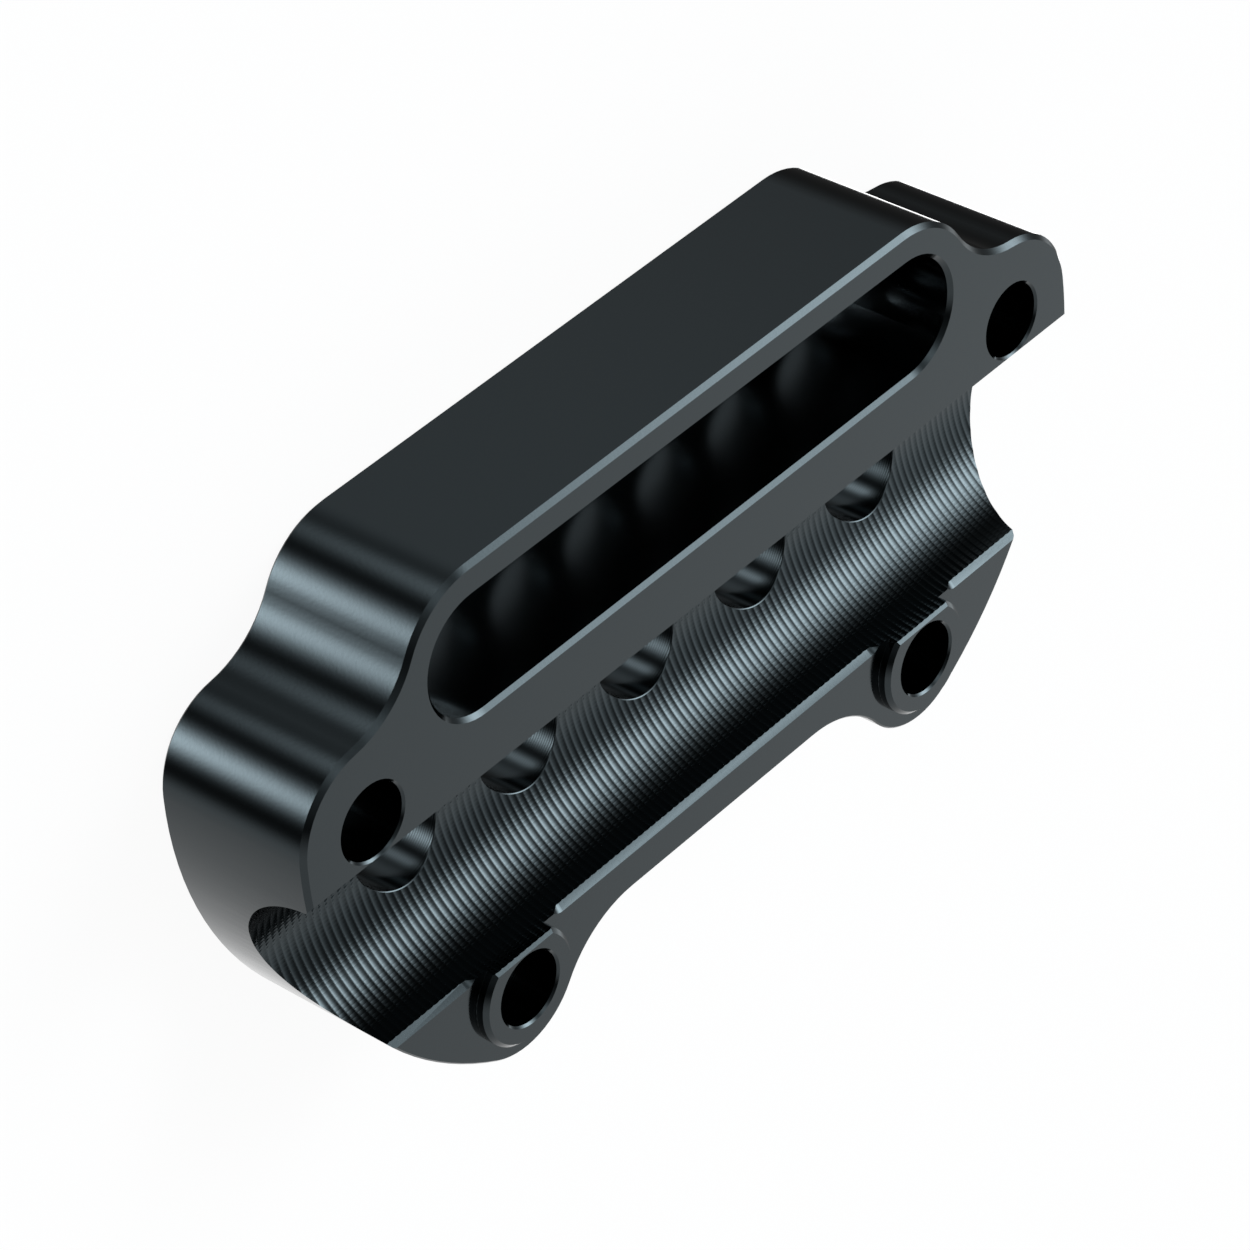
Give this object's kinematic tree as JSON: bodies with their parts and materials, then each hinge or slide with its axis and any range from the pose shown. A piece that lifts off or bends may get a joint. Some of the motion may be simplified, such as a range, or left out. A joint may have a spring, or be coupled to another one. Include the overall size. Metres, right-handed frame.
{
  "type": "handlebar clamp",
  "caption": "One-piece handlebar top clamp with a half-round bar seat, raised bolt pads, a long slot with round windows and a row of web holes.",
  "frame": {"origin": "on the handlebar's axis, at the middle of the bar seat's length", "axes": "+X along the handlebar, +Y towards the slotted edge, +Z out of the mating face, away from the flat back"},
  "size_m": [0.1236, 0.0659, 0.02],
  "materials": {
    "body": "black anodised, fine milled"
  },
  "bodies": {
    "root": {"clamp_body": "body"}
  },
  "joints": []
}
